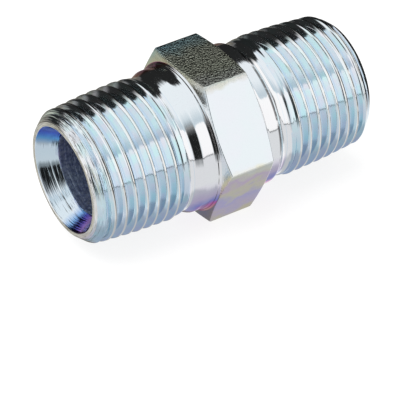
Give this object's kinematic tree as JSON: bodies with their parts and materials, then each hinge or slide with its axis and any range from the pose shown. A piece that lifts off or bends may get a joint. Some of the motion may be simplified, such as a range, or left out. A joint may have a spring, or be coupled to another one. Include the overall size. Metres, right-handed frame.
{
  "type": "hose fitting",
  "caption": "Straight hydraulic adapter with a hexagon in the middle, a taper pipe thread on each end and a cone seat in each mouth.",
  "frame": {"origin": "middle of the piece on the axis of its bore", "axes": "+X along the bore from the near mouth to the far mouth, +Z out of the upper flat of the hexagon, which is level when the piece lies at rest"},
  "size_m": [0.037, 0.021, 0.0182],
  "materials": {
    "zinc_plated_steel": "bright zinc plate with a clear blue passivate"
  },
  "bodies": {
    "root": {"fitting_body": "zinc_plated_steel"}
  },
  "joints": []
}
